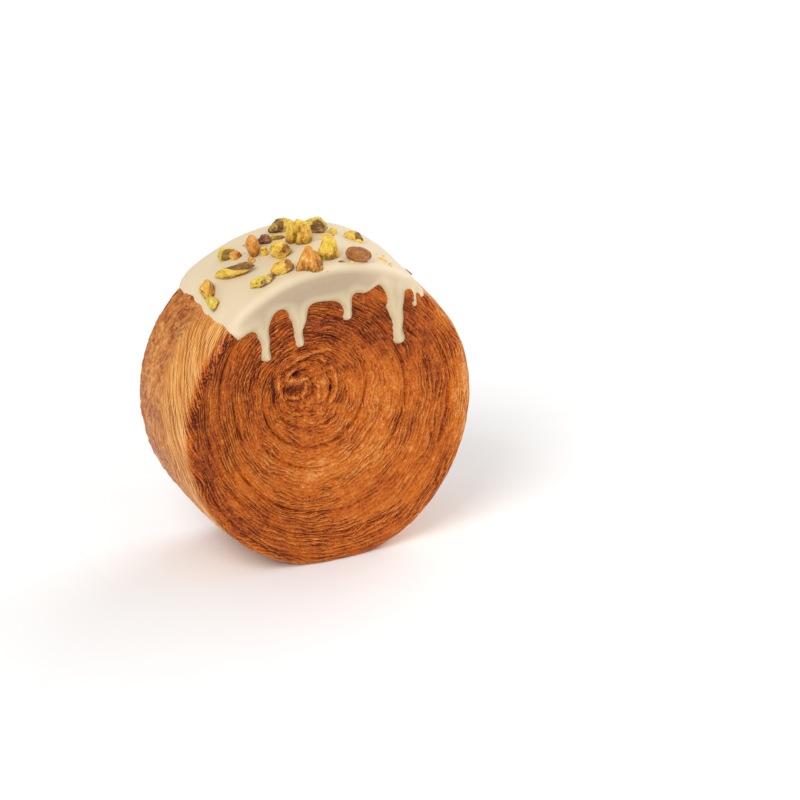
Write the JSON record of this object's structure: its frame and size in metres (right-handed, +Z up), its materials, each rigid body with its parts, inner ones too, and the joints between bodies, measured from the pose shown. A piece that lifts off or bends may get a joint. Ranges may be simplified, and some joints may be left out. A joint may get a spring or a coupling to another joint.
{
  "type": "pistachio swirl croissant",
  "caption": "Round rolled croissant standing on its rim, with a swirl on both faces, pale icing that drips down from the top, and chopped pistachios.",
  "frame": {"origin": "on the surface that the croissant stands on, under the middle of its box", "axes": "+Z up; the roll's axis lies along Y and its shown face looks along -Y; +X is to the right of that face"},
  "size_m": [0.1123, 0.0506, 0.1237],
  "materials": {
    "crust": "baked croissant crust, golden to dark brown, finely layered",
    "icing": "set cream-coloured icing, smooth, satin",
    "pistachio": "chopped pistachio kernels, yellow-green flesh and purple-brown skin"
  },
  "bodies": {
    "root": {"pastry": "crust", "icing": "icing", "nut_01": "pistachio", "nut_02": "pistachio", "nut_03": "pistachio", "nut_04": "pistachio", "nut_05": "pistachio", "nut_06": "pistachio", "nut_07": "pistachio", "nut_08": "pistachio", "nut_09": "pistachio", "nut_10": "pistachio", "nut_11": "pistachio"}
  },
  "joints": []
}
